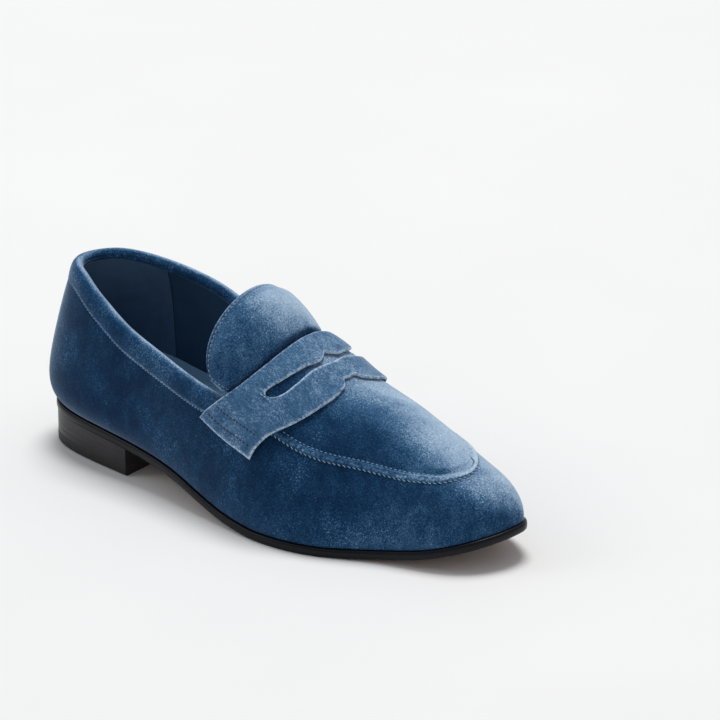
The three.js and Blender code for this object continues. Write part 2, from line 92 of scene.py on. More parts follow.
# How each soft edge is shaped.
BAND_EDGE = {"rise": 1.2, "round": 1.1, "fall": 0.55, "fall_width": 1.6, "swell_width": 4}
STRAP_EDGES = [0, 0.15, 0.4, 0.8, 1.5]  # distances in from the strap's edges
STRAP_ROUND = {"drop": 0.75, "width": 0.8}
STRAP_STAND = {"ridge": 0.35, "more": 1.9, "part": 0.08}  # its height over the wall, by reach
STRAP_END_SCALE = 45  # millimetres to one unit of reach near the strap's ends
SLOT_END = 0.05  # length of the slot's rounded end, as a part of the reach
NOTCH = {"place": 0.05, "width": 0.035, "depth": 2.4}
COLLAR_PAST = 4  # how far the collar runs on under the strap
COLLAR_FLUSH = 0.65  # how much of the roll's outward bulge the back of the heel loses
COLLAR_FLUSH_FROM = (4, 40)  # where it grows back
COLLAR_TAPER = 0.5  # how much thinner the roll is at its ends
LINING_DROP = 3.6  # how far below the topline the linings end
LAYER_FOOT = 2.4  # how far above the feather line the linings start
FOOTBED = {"start": 4, "stop": 8, "under": 3.9, "heel_pad": 2.3, "lift": 1.3, "gap": 0.25,
           "cup": 2.6, "thickness": 1.2}
TONGUE_ROOT = {"width": 0.72, "back": 1.8, "sink": 0.6, "sideways": 2.2}
TONGUE_SPAN = {"up": 42, "across": 55}  # millimetres across the whole of s and half of w
TONGUE_CROWN = {"side": 6.5, "loss": 4.5}  # lateral swell, and what the medial side has less
TONGUE_EDGE = {"half": 0.9, "round": 1.6, "groove": 0.7, "groove_at": 2.4, "groove_width": 0.7,
               "plump_at": 12, "top_part": 0.55}
ROOT_RISE = (-0.02, 0.12)  # where along s the pad grows to its full thickness
TONGUE_LINING = {"gap": 0.15, "face": 0.95}
STITCH_AT = 0.957  # reach of the tongue's stitches towards its sides
STITCH_UP = 0.943  # and towards its top
STITCH_MARGIN = 2.6  # from the strap's edges to its end stitching
STRAP_RUN = {"lateral": 50, "medial": 58}  # millimetres to one unit of reach, for the stitching
TACK_BEYOND = 0.012  # how far past the slot's end its tack lies, in reach
TACK_PAST = 0.6  # how far the tack runs past the slot's edges

# ---------- Curves along the shoe: (x, value) knots ----------
HALF_WIDTH = {
    "lateral": [(0, 57), (20, 49.6), (72, 39.6), (130, 35.5), (205, 55.8), (250, 54), (300, 76)],
    "medial": [(0, 57), (20, 49.6), (72, 38.5), (130, 30), (205, 53), (250, 46), (300, 43)],
}
CENTRE = [(0, 0), (72, 0), (135, -12), (210, 0.2), (300, 11.5)]
FEATHER = [(0, 24.3), (72, 20.6), (110, 17.3), (150, 7.6), (174, 5), (216, 5), (240, 6.6),
           (262, 9.9), (300, 20.8)]
RIDGE_HEIGHT = [(42, 130), (110, 115), (150, 95), (172, 91), (193, 79), (230, 66.6), (255, 55.8),
                (272, 48), (285, 43.4), (300, 36.5)]
RIDGE_SIDE = [(0, 0), (100, 0), (172, 6), (193, 4), (230, 6.5), (270, 9)]
ROUNDNESS = [(0, 2.2), (40, 2.6), (110, 2.5), (150, 2.5), (200, 2), (250, 2.1), (300, 2.9)]
LOW_BULGE = [(0, 6), (30, 9), (110, 3), (200, 2), (300, 0)]
ARCH_BULGE = [(0, 0), (40, 3), (90, 12), (130, 17), (160, 13), (200, 4), (240, 0)]
TOPLINE = {
    "lateral": [(0, 105), (20, 103.5), (45, 94.5), (70, 84), (95, 77.5), (120, 72), (150, 66.5)],
    "medial": [(0, 105), (20, 106), (45, 103), (70, 97), (95, 89), (120, 79), (150, 66.5)],
}
# Half width of the apron, before it closes round the toe as a square root.
APRON_HALF = [(168, 44.5), (205, 48.5), (245, 46.2), (258, 49.7), (268, 54.6), (275.2, 54)]
BAND = [(0, 9), (20, 9.5), (45, 11), (150, 11)]
STRAP_REAR = [(0, 166.8), (0.2, 165.4), (0.4, 161.5), (0.6, 154), (0.8, 143.4), (1, 132)]
STRAP_FRONT = [(0, 196.5), (0.08, 198.6), (0.2, 199.6), (0.4, 195.8), (0.6, 188.3), (0.8, 177.8),
               (1, 170)]
SLOT_REAR = [(0, 179.2), (0.06, 181.2), (0.2, 178.9), (0.4, 174.3), (0.58, 167.7)]
SLOT_FRONT = [(0, 185), (0.1, 183.4), (0.2, 182), (0.37, 180.1), (0.5, 177), (0.58, 173)]

# How far the footbed's edges are cupped up above its middle.
FOOTBED_RISE = {
    "lateral": [(0, 12), (33, 11), (70, 7), (110, 4), (300, 4)],
    "medial": [(0, 12), (33, 15), (68, 9.5), (110, 13), (150, 8), (190, 4), (300, 4)],
}

# The first heel nail stands at a known place, so it ties the shoe's own measure to the frame.
nail_low, nail_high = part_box("heel_nail_1")
ORIGIN = np.array([(nail_low.x + nail_high.x) / 2 / METRES - NAILS[0][0],
                   (nail_low.y + nail_high.y) / 2 / METRES - NAILS[0][1], 0])


def place(points):
    """Shoe millimetres to frame metres."""
    return (np.asarray(points, float) + ORIGIN) * METRES


# ---------- Surfaces ----------
def curve(knots, x):
    """Smooth curve through knots, held level outside them."""
    at = np.array([k[0] for k in knots], float)
    value = np.array([k[1] for k in knots], float)
    x = np.clip(x, at[0], at[-1])
    width = np.diff(at)
    slope = np.diff(value) / width
    tangent = np.empty_like(value)
    tangent[0] = slope[0]
    tangent[-1] = slope[-1]
    tangent[1:-1] = (slope[:-1] * width[1:] + slope[1:] * width[:-1]) / (width[1:] + width[:-1])
    i = np.clip(np.searchsorted(at, x, side="right") - 1, 0, len(at) - 2)
    t = (x - at[i]) / width[i]
    h = width[i]
    return ((2 * t**3 - 3 * t**2 + 1) * value[i] + (t**3 - 2 * t**2 + t) * h * tangent[i]
            + (3 * t**2 - 2 * t**3) * value[i + 1] + (t**3 - t**2) * h * tangent[i + 1])


def by_side(table, side, x):
    return np.where(np.asarray(side) < 0, curve(table["lateral"], x), curve(table["medial"], x))


def smooth(low, high, x):
    t = np.clip((x - low) / (high - low), 0, 1)
    return t * t * (3 - 2 * t)


def quarter_round(t):
    """Rises like a quarter circle from 0 at t = 0 to 1 at t = 1."""
    return np.sqrt(np.clip(1 - (1 - np.clip(t, 0, 1)) ** 2, 0, 1))


def peak(distance, width):
    """Bell shape that is 1 where the distance is nought."""
    return np.exp(-((distance / width) ** 2))


def along_of(q):
    return LENGTH * (1 - np.cos(np.pi * np.asarray(q, float))) / 2


def station_at(x):
    return np.arccos(1 - 2 * np.asarray(x, float) / LENGTH) / np.pi


def feather(x):
    return np.maximum(SOLE_EDGE, curve(FEATHER, x))


def outline(q, side):
    x = along_of(q)
    part = x / LENGTH
    rounding = 2 * np.sqrt(np.maximum(0, part * (1 - part)))
    return x, curve(CENTRE, x) + side * by_side(HALF_WIDTH, side, x) * rounding


def inset(q, side, distance):
    step = 1e-4
    ahead = outline(np.minimum(1, q + step), side)
    behind = outline(np.maximum(0, q - step), side)
    run = np.stack([ahead[0] - behind[0], ahead[1] - behind[1]])
    run = run / np.maximum(np.hypot(run[0], run[1]), 1e-12)
    x, y = outline(q, side)
    return x + run[1] * side * distance, y - run[0] * side * distance


def wall(side, q, v):
    """Last surface: v runs 0..1 from the feather line up to the ridge."""
    side, q, v = np.broadcast_arrays(np.asarray(side, float), np.asarray(q, float),
                                     np.asarray(v, float))
    x = along_of(q)
    foot = inset(q, side, FEATHER_INSET)
    within = inset(q, side, FEATHER_INSET + 1)
    low = feather(x)
    heel_part = np.maximum(0, 1 - x / RIDGE_LEAN["heel_length"])
    toe_part = np.maximum(0, (x - RIDGE_LEAN["toe_start"]) / RIDGE_LEAN["toe_length"])
    ridge_x = x + RIDGE_LEAN["heel"] * heel_part**2 - RIDGE_LEAN["toe"] * toe_part**2
    ridge_y = curve(RIDGE_SIDE, ridge_x)
    power = 2 / curve(ROUNDNESS, x)
    angle = np.clip(v, 1e-6, 1 - 1e-9) * (math.pi / 2)
    rise = np.sin(angle) ** power
    lean = 1 - np.cos(angle) ** power
    bulge = curve(LOW_BULGE, x) * (rise / 0.2) * np.exp(1 - rise / 0.2) * (1 - rise)
    arch = curve(ARCH_BULGE, x) * np.sin(np.pi * rise**1.35)
    bulge = bulge + np.where(side > 0, arch, 0)
    px = foot[0] + (ridge_x - foot[0]) * lean + (foot[0] - within[0]) * bulge
    py = foot[1] + (ridge_y - foot[1]) * lean + (foot[1] - within[1]) * bulge
    own = smooth(*OWN_HEIGHT, x)
    height_x = ridge_x + (np.maximum(px, ridge_x) - ridge_x) * own
    return np.stack([px, py, low + (curve(RIDGE_HEIGHT, height_x) - low) * rise], -1)


def unit(vectors):
    return vectors / np.maximum(np.linalg.norm(vectors, axis=-1, keepdims=True), 1e-12)


def wall_normal(side, q, v):
    step = 2e-3
    q = np.minimum(q, 0.99)
    v = np.minimum(v, 0.985)
    along_q = wall(side, q + step, v) - wall(side, np.maximum(0, q - step), v)
    along_v = wall(side, q, np.minimum(1, v + step)) - wall(side, q, np.maximum(0, v - step))
    return unit(np.cross(along_q, along_v) * -np.asarray(side)[..., None])


def skin_normal(side, q, v):
    side, q, v = np.broadcast_arrays(np.asarray(side, float), q, v)
    normal = wall_normal(side, q, v)
    other = wall_normal(-side, q, v)
    nearness = np.maximum(np.maximum(smooth(0.96, 1, v), smooth(0.985, 1, q)), smooth(0.01, 0, q))
    return unit(normal * (1 - nearness / 2)[..., None] + other * (nearness / 2)[..., None])


def skin(side, q, v, distance):
    """Point at a distance outside (+) or inside (-) the last surface."""
    distance = np.asarray(distance, float)
    return wall(side, q, v) + skin_normal(side, q, v) * distance[..., None]


HALVINGS = 26


def solve_level(inside):
    """Lowest level at which inside(level) turns true, by halving."""
    low = 0.0
    high = 1.0
    for _ in range(HALVINGS):
        middle = (low + high) / 2
        reached = inside(middle)
        high = np.where(reached, middle, high)
        low = np.where(reached, low, middle)
    return (low + high) / 2


def level_at(side, q, z):
    side, q, z = np.broadcast_arrays(np.asarray(side, float), q, z)
    return solve_level(lambda v: wall(side, q, v + 0 * q)[..., 2] >= z)


def apron_level(side, q):
    """Level at which the wall crosses the apron's outline."""
    side, q = np.broadcast_arrays(np.asarray(side, float), q)

    def inside(v):
        p = wall(side, q, v + 0 * q)
        left = np.clip((APRON_TIP - p[..., 0]) / (APRON_TIP - APRON_REAR), 0, 1)
        return np.abs(p[..., 1] - APRON_CENTRE) < curve(APRON_HALF, p[..., 0]) * np.sqrt(left)

    return np.maximum(APRON_LOW, solve_level(inside))


def top_height(side, x):
    return by_side(TOPLINE, side, x)


# ---------- Mesh building ----------
MERGE = 2e-6  # points closer than this, in metres, are one point


def finish_mesh(name, points, faces, material, wear=None, crease=50):
    """One closed object from points in shoe millimetres."""
    mesh = bpy.data.meshes.new(name)
    mesh.from_pydata(place(points).tolist(), [], faces)
    layer = mesh.attributes.new("wear", "FLOAT", "POINT")
    amounts = np.zeros(len(points)) if wear is None else np.asarray(wear, float).ravel()
    layer.data.foreach_set("value", amounts.astype(np.float32))
    body = bmesh.new()
    body.from_mesh(mesh)
    bmesh.ops.remove_doubles(body, verts=body.verts, dist=MERGE)
    bmesh.ops.dissolve_degenerate(body, edges=body.edges, dist=MERGE / 2)
    bmesh.ops.recalc_face_normals(body, faces=body.faces)
    body.to_mesh(mesh)
    body.free()
    mesh.polygons.foreach_set("use_smooth", [True] * len(mesh.polygons))
    mesh.set_sharp_from_angle(angle=math.radians(crease))
    mesh.materials.append(material)
    piece = bpy.data.objects.new(name, mesh)
    bpy.context.scene.collection.objects.link(piece)
    return piece


def sheet_faces(rows, cols, keep):
    """Quads of a grid with thickness. The inner grid's points follow the outer grid's."""
    shift = rows * cols
    faces = []

    def at(i, j):
        return i * cols + j

    def kept(i, j):
        return 0 <= i < rows - 1 and 0 <= j < cols - 1 and keep[i, j]

    for i in range(rows - 1):
        for j in range(cols - 1):
            if not keep[i, j]:
                continue
            ring = [at(i, j), at(i + 1, j), at(i + 1, j + 1), at(i, j + 1)]
            faces.append(ring)
            faces.append([r + shift for r in reversed(ring)])
            beyond = [(i, j - 1), (i + 1, j), (i, j + 1), (i - 1, j)]
            for k, (m, n) in enumerate(beyond):
                if not kept(m, n):
                    a, b = ring[k], ring[(k + 1) % 4]
                    faces.append([b, a, a + shift, b + shift])
    return faces


def sheet(name, outer, inner, material, keep=None, wear=None, crease=50):
    rows, cols = outer.shape[:2]
    mask = np.ones((rows - 1, cols - 1), bool) if keep is None else keep
    points = np.concatenate([outer.reshape(-1, 3), inner.reshape(-1, 3)])
    amounts = None if wear is None else np.concatenate([wear.ravel(), wear.ravel()])
    return finish_mesh(name, points, sheet_faces(rows, cols, mask), material, amounts, crease)


def loft(name, rings, material, wear=None, crease=50, closed=False):
    """Rings of points joined in order, with a face over each end."""
    count, size = rings.shape[:2]
    faces = []
    for i in range(count if closed else count - 1):
        nxt = (i + 1) % count
        for k in range(size):
            m = (k + 1) % size
            faces.append([i * size + k, i * size + m, nxt * size + m, nxt * size + k])
    if not closed:
        faces.append(list(range(size)))
        faces.append([(count - 1) * size + k for k in range(size)])
    amounts = None if wear is None else wear.ravel()
    return finish_mesh(name, rings.reshape(-1, 3), faces, material, amounts, crease)


def give(piece, body, slot, *nodes):
    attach(piece, body)
    if nodes:
        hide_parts(*nodes)
    return piece


def stations(start, end, count):
    return np.linspace(station_at(start), station_at(end), count)


def round_toe(x, count):
    """Sides and stations round the toe, from a place on the lateral side to the same on the medial."""
    q = stations(x, LENGTH, count)
    return (np.concatenate([-np.ones(count), np.ones(count - 1)]),
            np.concatenate([q, q[-2::-1]]))


def round_heel(x, count):
    q = stations(0, x, count)
    return (np.concatenate([-np.ones(count), np.ones(count - 1)]),
            np.concatenate([q[::-1], q[1:]]))


# ---------- Materials ----------
MIX_COLOURS = (6, 7)  # the Mix node's two colour inputs
MIX_RESULT = 2  # and its colour output


class Finish:
    """A Principled material with a few ways to lay procedural detail on it."""

    def __init__(self, name, roughness=0.5, **sockets):
        self.material = bpy.data.materials.new(name)
        self.material.use_nodes = True
        self.tree = self.material.node_tree
        self.shader = self.tree.nodes["Principled BSDF"]
        self.place = self.new("TexCoord").outputs["Object"]
        self.shader.inputs["Roughness"].default_value = roughness
        for socket, value in sockets.items():
            self.shader.inputs[socket.replace("_", " ")].default_value = value

    def new(self, kind):
        return self.tree.nodes.new("ShaderNode" + kind)

    def link(self, output, target):
        self.tree.links.new(output, target)

    def stretched(self, scale, turn=(0, 0, 0)):
        mapping = self.new("Mapping")
        mapping.inputs["Scale"].default_value = scale
        mapping.inputs["Rotation"].default_value = turn
        self.link(self.place, mapping.inputs["Vector"])
        return mapping.outputs["Vector"]

    def noise(self, scale, detail=3, distortion=0.0, source=None):
        node = self.new("TexNoise")
        node.inputs["Scale"].default_value = scale
        node.inputs["Detail"].default_value = detail
        node.inputs["Distortion"].default_value = distortion
        self.link(source or self.place, node.inputs["Vector"])
        return node.outputs["Fac"]

    def cells(self, scale):
        node = self.new("TexVoronoi")
        node.inputs["Scale"].default_value = scale
        self.link(self.place, node.inputs["Vector"])
        return node.outputs["Distance"]

    def ramp(self, value, low, high, first, last):
        """Value between low and high, mapped from colour first to colour last."""
        return self.stops(value, [(low, first), (high, last)])

    def amount(self, value, low, high, least, most):
        node = self.new("MapRange")
        for socket, number in zip(["From Min", "From Max", "To Min", "To Max"],
                                  [low, high, least, most]):
            node.inputs[socket].default_value = number
        self.link(value, node.inputs["Value"])
        return node.outputs["Result"]

    def mix(self, factor, first, second):
        node = self.new("Mix")
        node.data_type = "RGBA"
        if isinstance(factor, float):
            node.inputs["Factor"].default_value = factor
        else:
            self.link(factor, node.inputs["Factor"])
        for socket, value in zip(MIX_COLOURS, (first, second)):
            if isinstance(value, tuple):
                node.inputs[socket].default_value = (*value, 1)
            else:
                self.link(value, node.inputs[socket])
        return node.outputs[MIX_RESULT]

    def stops(self, value, stops):
        """Value mapped through colours at (position, colour) stops, in rising order."""
        node = self.new("ValToRGB")
        elements = node.color_ramp.elements
        while len(elements) < len(stops):
            elements.new(0.5)
        for element, (position, _) in zip(elements, stops):
            element.position = position
        for element, (_, colour) in zip(elements, stops):
            element.color = (*colour, 1)
        self.link(value, node.inputs["Fac"])
        return node.outputs["Color"]

    def sum_up(self, operation, *values):
        node = self.new("Math")
        node.operation = operation
        for socket, value in zip(node.inputs, values):
            if isinstance(value, (int, float)):
                socket.default_value = value
            else:
                self.link(value, socket)
        return node.outputs[0]

    def times(self, first, second):
        return self.sum_up("MULTIPLY", first, second)

    def total(self, start, *parts, less=0.0):
        """start - less + each value times its weight."""
        result = start - less
        for value, weight in parts:
            result = self.sum_up("MULTIPLY_ADD", value, weight, result)
        return result

    def facing(self, way, low, high, most):
        """How far the surface faces one fixed way on the object, wherever it is seen from."""
        node = self.new("VectorMath")
        node.operation = "DOT_PRODUCT"
        normal = self.new("TexCoord").outputs["Normal"]
        self.link(normal, node.inputs[0])
        node.inputs[1].default_value = way
        return self.amount(node.outputs["Value"], low, high, 0, most)

    def along(self, axis, low, high, first, last):
        """Changes from first to last as the place on one axis goes from low to high, in metres."""
        node = self.new("SeparateXYZ")
        self.link(self.place, node.inputs[0])
        return self.amount(node.outputs[axis], low, high, first, last)

    def worn(self):
        node = self.new("Attribute")
        node.attribute_name = "wear"
        return node.outputs["Fac"]

    def colour(self, output):
        self.link(output, self.shader.inputs["Base Color"])

    def rough(self, output):
        self.link(output, self.shader.inputs["Roughness"])

    def bump(self, *layers):
        """Layers are (height output, strength, depth in metres), from coarse to fine."""
        before = None
        for height, strength, depth in layers:
            node = self.new("Bump")
            node.inputs["Strength"].default_value = strength
            node.inputs["Distance"].default_value = depth
            self.link(height, node.inputs["Height"])
            if before is not None:
                self.link(before, node.inputs["Normal"])
            before = node.outputs["Normal"]
        self.link(before, self.shader.inputs["Normal"])


# Velvet's colours, from dark pile to pale; the pale end is reached by worn edges and by the painted
# highlight and painted floor bounce.
PILE = [(0.0, (0.002, 0.018, 0.056)), (0.2, (0.008, 0.046, 0.116)), (0.43, (0.056, 0.138, 0.262)),
        (0.72, (0.300, 0.430, 0.590)), (1.0, (0.500, 0.620, 0.740))]
PILE_RANGE = 0.72  # scales a tone so that its palest part still shows its grain
PAINTED_LIGHT_WAY = (0.35, 0.50, 0.79)  # painted highlight: faces turned towards this way, up and to the medial side, are painted paler as if lit
PAINTED_LIGHT_FACING = (0.42, 1.0)  # how far a face has to turn to it to start and to finish taking the painted highlight
NAP_STROKES = 0.4
# Painted floor bounce low on the walls and painted highlight towards the toe: low and high place in
# metres, then the tone added at each.
PAINTED_FLOOR_BOUNCE = (0.006, 0.028, 0.10, 0)
PAINTED_TOE_HIGHLIGHT = (0.060, 0.110, 0, 0.20)


def velvet(name, bias, highlight_strength=0.72, turn=(0, 0, 0), mottle=0.5, grain=0.9, weave=0.0):
    """Short-napped velvet: mottled patches and nap strokes, fine speckle and pale, rubbed edges, with
    a painted highlight on faces turned up, to the medial side and towards the toe, and painted floor
    bounce low down.
    """
    f = Finish(name, roughness=0.9, Sheen_Weight=0.55, Sheen_Roughness=0.35,
               Sheen_Tint=(0.62, 0.8, 1.0, 1), Specular_IOR_Level=0.08)
    patches = f.noise(34, detail=3, distortion=0.5)
    strokes = f.noise(170, detail=3, distortion=0.3, source=f.stretched((1, 1, 0.55), turn))
    speckle = f.noise(1350, detail=2)
    frost = f.amount(f.noise(1150, detail=2), 0.52, 0.70, 0.0, 0.40)
    clouds = f.amount(patches, 0.42, 0.66, 0.2, 1.0)
    fray = f.noise(620, detail=3)
    # Painted highlight: faces turned up and towards the medial side are painted paler.
    painted_highlight = f.facing(PAINTED_LIGHT_WAY, *PAINTED_LIGHT_FACING, highlight_strength)
    # Painted floor bounce: the lowest part of the walls is painted paler.
    foot = f.along("Z", *PAINTED_FLOOR_BOUNCE)
    # Painted highlight: the velvet is painted paler towards the toe.
    toe = f.along("X", *PAINTED_TOE_HIGHLIGHT)
    rubbed = f.times(f.worn(), f.amount(fray, 0.36, 0.60, 0.15, 0.95))
    # The tone sums the velvet's own mottle, strokes, speckle, frost and wear with the painted
    # highlight, the painted floor bounce (foot) and the painted toe highlight (toe).
    tone = f.total(bias, (painted_highlight, 1), (foot, 1), (toe, 1), (patches, mottle),
                   (strokes, NAP_STROKES), (speckle, grain), (f.times(frost, clouds), 1),
                   (rubbed, 1), less=(mottle + NAP_STROKES + grain) / 2)
    if weave:
        threads = f.noise(900, detail=1, source=f.stretched((0.35, 1.5, 0.6), turn))
        tone = f.total(0, (tone, 1), (threads, weave), less=weave / 2)
    f.colour(f.stops(f.times(tone, PILE_RANGE), PILE))
    ribs = f.noise(1000, detail=1, source=f.stretched((1.2, 0.3, 0.5), turn))
    f.bump((strokes, 0.25, 0.0004), (ribs, 0.4, 0.0002), (speckle, 0.6, 0.0003))
    return f.material


def leather(name, dark, light, roughness=0.55, grain=900, depth=0.00012, **sockets):
    f = Finish(name, roughness=roughness, **sockets)
    patches = f.noise(30, detail=5, distortion=0.4)
    f.colour(f.ramp(patches, 0.3, 0.75, dark, light))
    pores = f.cells(grain)
    f.rough(f.amount(patches, 0.3, 0.7, roughness - 0.06, roughness + 0.08))
    f.bump((pores, 0.35, depth), (f.noise(grain * 2.5, detail=3), 0.25, depth / 2))
    return f.material


def polished_edge(name, dark, light, roughness, coat):
    """Burnished, waxed leather edge: fine lines along the layers under a hard gloss."""
    f = Finish(name, roughness=roughness, Coat_Weight=coat, Coat_Roughness=0.22,
               Specular_IOR_Level=0.18)
    lines = f.noise(700, detail=3, source=f.stretched((0.05, 0.05, 1.6)))
    wax = f.noise(45, detail=4, distortion=0.6)
    f.colour(f.mix(f.amount(wax, 0.35, 0.75, 0, 0.8), dark, light))
    f.rough(f.amount(lines, 0.3, 0.7, roughness - 0.04, roughness + 0.06))
    f.bump((lines, 0.08, 0.00006), (f.noise(1300, detail=3), 0.08, 0.00005))
    return f.material


def grainy(name, dark, light, roughness, scale, depth, metallic=0.0):
    f = Finish(name, roughness=roughness, Metallic=metallic)
    grain = f.noise(scale, detail=5, distortion=0.3)
    f.colour(f.ramp(grain, 0.3, 0.7, dark, light))
    f.bump((f.cells(scale * 1.6), 0.4, depth), (grain, 0.3, depth / 2))
    return f.material


WRAP_VELVET = velvet("wrap_velvet_nap", 0.11)
APRON_VELVET = velvet("apron_velvet_nap", 0.17, highlight_strength=0.86)
STRAP_VELVET = velvet("strap_velvet_nap", 0.55, highlight_strength=0.12, turn=(0, 0, 0.8), mottle=0.2, grain=0.5,
                      weave=0.4)
TONGUE_VELVET = velvet("tongue_velvet_nap", 0.38, highlight_strength=0.8)
COLLAR_VELVET = velvet("collar_velvet_nap", 0.23)
THREAD = grainy("thread", (0.16, 0.27, 0.40), (0.34, 0.48, 0.62), 0.7, 2500, 0.0001)
# Near-black copy of the thread: painted shade for the strap's shadowed stitches.
PAINTED_SHADE_THREAD = grainy("painted_shade_thread", (0.002, 0.008, 0.022), (0.010, 0.025, 0.055), 0.7, 2500,
                       0.0001)
GRIP_LEATHER = leather("grip_leather", (0.026, 0.066, 0.125), (0.078, 0.145, 0.235), 0.85, 1500,
                       0.0002)
LINING_LEATHER = leather("lining_leather", (0.008, 0.030, 0.068), (0.018, 0.056, 0.115), 0.6)
FOOTBED_LEATHER = leather("footbed_leather", (0.150, 0.335, 0.560), (0.205, 0.405, 0.630), 0.5)
EDGE_LEATHER = polished_edge("sole_edge", (0.0012, 0.002, 0.005), (0.004, 0.005, 0.008), 0.34, 0.05)
TREAD_LEATHER = leather("sole_tread", (0.13, 0.065, 0.035), (0.22, 0.115, 0.062), 0.45, 500)
HEEL_LEATHER = polished_edge("heel_edge", (0.013, 0.013, 0.017), (0.028, 0.026, 0.030), 0.42, 0.2)
RUBBER = grainy("top_lift_rubber", (0.006, 0.006, 0.006), (0.014, 0.013, 0.012), 0.6, 900, 0.0001)
BOARD = grainy("fibre_board", (0.33, 0.24, 0.14), (0.46, 0.35, 0.22), 0.85, 700, 0.0002)
CORK = grainy("cork_paste", (0.30, 0.17, 0.08), (0.52, 0.34, 0.18), 0.9, 350, 0.0005)
FOAM = grainy("open_foam", (0.62, 0.58, 0.48), (0.75, 0.72, 0.62), 0.95, 1200, 0.0003)
STEEL = grainy("plain_steel", (0.42, 0.43, 0.44), (0.58, 0.59, 0.60), 0.35, 600, 0.00005, 1.0)


# ---------- Upper ----------
def rows_between(bottom, top, count):
    """Levels from bottom to top, closer together near the bottom."""
    return bottom[:, None] + (top - bottom)[:, None] * np.linspace(0, 1, count) ** 1.2


def two_faces(side, q, v, outside, inside):
    """Points over the same levels at an outer and an inner distance from the last surface."""
    return [skin(side[:, None], q[:, None], v, 0 * v + distance) for distance in (outside, inside)]


def make_wrap():
    side, q = round_toe(0.0, 230)
    x = along_of(q)
    bottom = level_at(side, q, feather(x) + WRAP["foot"])
    seam = level_at(side, q, top_height(side, x) - curve(BAND, x) + WRAP["under_collar"])
    edge = apron_level(side, q) + WRAP["under_apron"]
    top = seam + (edge - seam) * smooth(COLLAR_END - 6, APRON_REAR, x)
    v = rows_between(bottom, top, 64)
    piece = sheet("wrap_velvet", *two_faces(side, q, v, 0, -UPPER), WRAP_VELVET)
    return give(piece, "shoe", "velvet", "upper_wrap")


def apron_grid(side, q, inward):
    """Levels on the apron at distances inward from its edge, in millimetres."""
    edge = apron_level(side, q)
    near = wall(side, q, edge)
    step = 0.01
    ahead = wall(side, q, np.minimum(1, edge + step))
    speed = np.linalg.norm(ahead - near, axis=-1) / step
    return edge[:, None] + inward / np.maximum(speed[:, None], 1)


def band_height(d):
    """Height of the apron above the wall at a distance inward from its edge."""
    rise = BAND_EDGE["rise"] * quarter_round(d / BAND_EDGE["round"])
    fall = smooth(SEAM_BAND - BAND_EDGE["fall_width"], SEAM_BAND, d) * BAND_EDGE["fall"]
    swell = smooth(SEAM_BAND, SEAM_BAND + BAND_EDGE["swell_width"], d) * BAND_EDGE["fall"]
    return rise - fall + swell


EDGE_STEPS = np.array([0, 0.1, 0.25, 0.45, 0.7, 1.0, 1.5, 2.1, 2.7, 3.1, 3.5, 3.9, 4.3, 4.8, 5.4,
                       6.2, 7.2])


def make_apron():
    side, q = round_toe(APRON_REAR, 130)
    near = apron_grid(side, q, EDGE_STEPS)
    parts = np.linspace(0, 1, 26)[1:]
    start = near[:, -1:]
    far = start + (1 - start) * parts
    v = np.minimum(1, np.concatenate([near, far], 1))
    deepest = EDGE_STEPS[-1] + 5
    depth = np.concatenate([EDGE_STEPS, np.full(len(parts), deepest)])
    outer, inner = two_faces(side, q, v, band_height(depth)[None, :], -UPPER)
    rubbed = peak(depth - 1.6, 1.5) * 0.45
    piece = sheet("apron_velvet", outer, inner, APRON_VELVET, wear=rubbed[None, :] + 0 * v)
    return give(piece, "shoe", "velvet", "apron")


def strap_point(reach, x, distance):
    """reach runs -1..1 between the strap's ends, x is the station along the shoe."""
    reach, x, distance = np.broadcast_arrays(reach, x, distance)
    w = STRAP["centre"] + reach * np.where(reach < 0, STRAP["lateral"], STRAP["medial"])
    shift = STRAP["skew"] * np.clip(reach / 0.25, 0, 1)
    return skin(np.where(w < 0, -1.0, 1.0), station_at(x + shift), 1 - np.abs(w), distance)


def strap_lift(r):
    """Height of the strap's underside over the wall."""
    return STRAP_STAND["ridge"] + STRAP_STAND["more"] * np.clip((1 - r) / STRAP_STAND["part"], 0, 1)


def notch(r):
    """The small step cut into the strap's front edge on each side of the ridge."""
    return peak(r - NOTCH["place"], NOTCH["width"])


